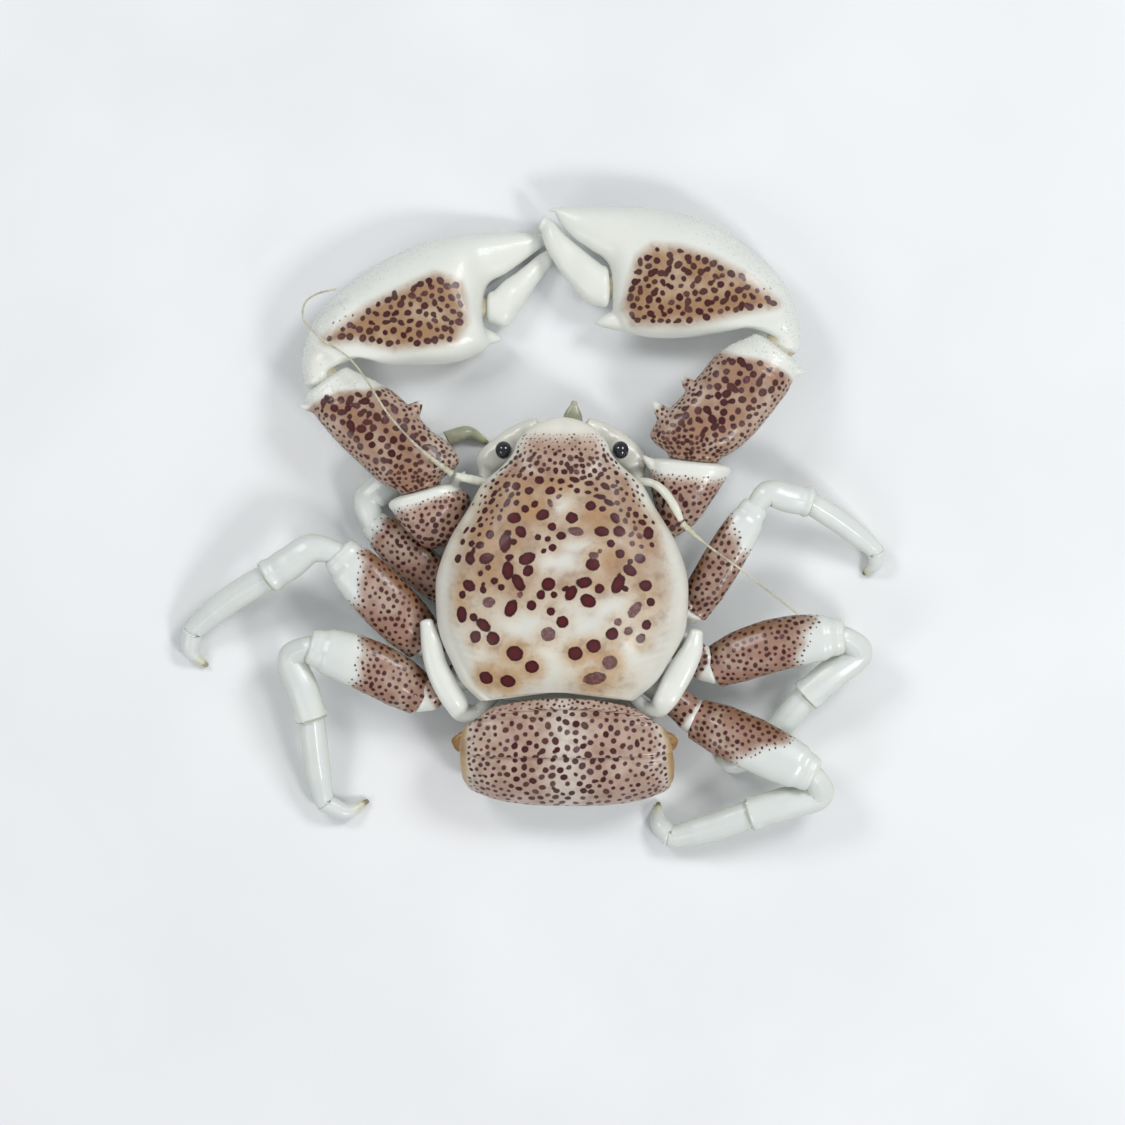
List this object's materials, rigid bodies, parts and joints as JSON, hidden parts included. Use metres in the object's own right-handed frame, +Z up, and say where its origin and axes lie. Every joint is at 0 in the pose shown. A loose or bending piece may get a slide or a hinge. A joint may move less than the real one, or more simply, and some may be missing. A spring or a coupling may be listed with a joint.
{
  "type": "spotted porcelain crab",
  "caption": "Life-size still model of a spotted porcelain crab, claws closed in front, legs spread, tail folded under, standing on flat feet.",
  "frame": {"origin": "middle of the model's box, on the floor that the feet and palms stand on", "axes": "+X to the crab's left, +Y to its tail, +Z up; it faces -Y"},
  "size_m": [0.0504, 0.0457, 0.009],
  "materials": {
    "porcelain": "glossy blue-white shell with a faint translucency",
    "spotted_shell": "glossy white shell under dense maroon spots on a tan and peach ground",
    "spotted_limb": "glossy white limb shell under dense maroon spots on a mauve and tan ground",
    "eye": "wet blue-black",
    "feeler": "pale translucent whip",
    "flesh": "yellowish soft tissue",
    "horn_tip": "greenish ivory claw with a dark point"
  },
  "bodies": {
    "root": {"abdomen_1": "spotted_shell", "abdomen_2": "spotted_shell", "abdomen_3": "spotted_shell", "abdomen_4": "spotted_shell", "abdomen_5": "spotted_shell", "abdomen_6": "spotted_shell", "abdomen_core": "flesh", "antenna_base_left": "porcelain", "antenna_base_right": "porcelain", "antenna_left": "feeler", "antenna_right": "feeler", "antennule_left": "feeler", "antennule_right": "feeler", "carapace": "spotted_shell", "claw_arm_left": "spotted_limb", "claw_arm_right": "spotted_limb", "claw_finger_left": "spotted_limb", "claw_finger_right": "spotted_limb", "claw_palm_left": "spotted_limb", "claw_palm_right": "spotted_limb", "claw_wrist_left": "spotted_limb", "claw_wrist_right": "spotted_limb", "eye_left": "eye", "eye_right": "eye", "eyestalk_left": "porcelain", "eyestalk_right": "porcelain", "fifth_leg_left": "porcelain", "fifth_leg_right": "porcelain", "leg_1_left_carpus": "porcelain", "leg_1_left_dactyl": "horn_tip", "leg_1_left_merus": "spotted_limb", "leg_1_left_propodus": "porcelain", "leg_1_right_carpus": "porcelain", "leg_1_right_dactyl": "horn_tip", "leg_1_right_merus": "spotted_limb", "leg_1_right_propodus": "porcelain", "leg_2_left_carpus": "porcelain", "leg_2_left_dactyl": "horn_tip", "leg_2_left_merus": "spotted_limb", "leg_2_left_propodus": "porcelain", "leg_2_right_carpus": "porcelain", "leg_2_right_dactyl": "horn_tip", "leg_2_right_merus": "spotted_limb", "leg_2_right_propodus": "porcelain", "leg_3_left_carpus": "porcelain", "leg_3_left_dactyl": "horn_tip", "leg_3_left_merus": "spotted_limb", "leg_3_left_propodus": "porcelain", "leg_3_right_carpus": "porcelain", "leg_3_right_dactyl": "horn_tip", "leg_3_right_merus": "spotted_limb", "leg_3_right_propodus": "porcelain", "mouth_palp_left": "porcelain", "mouth_palp_right": "porcelain", "mouthpart_left": "porcelain", "mouthpart_right": "porcelain", "tail_fan": "spotted_shell", "thorax": "porcelain"}
  },
  "joints": []
}
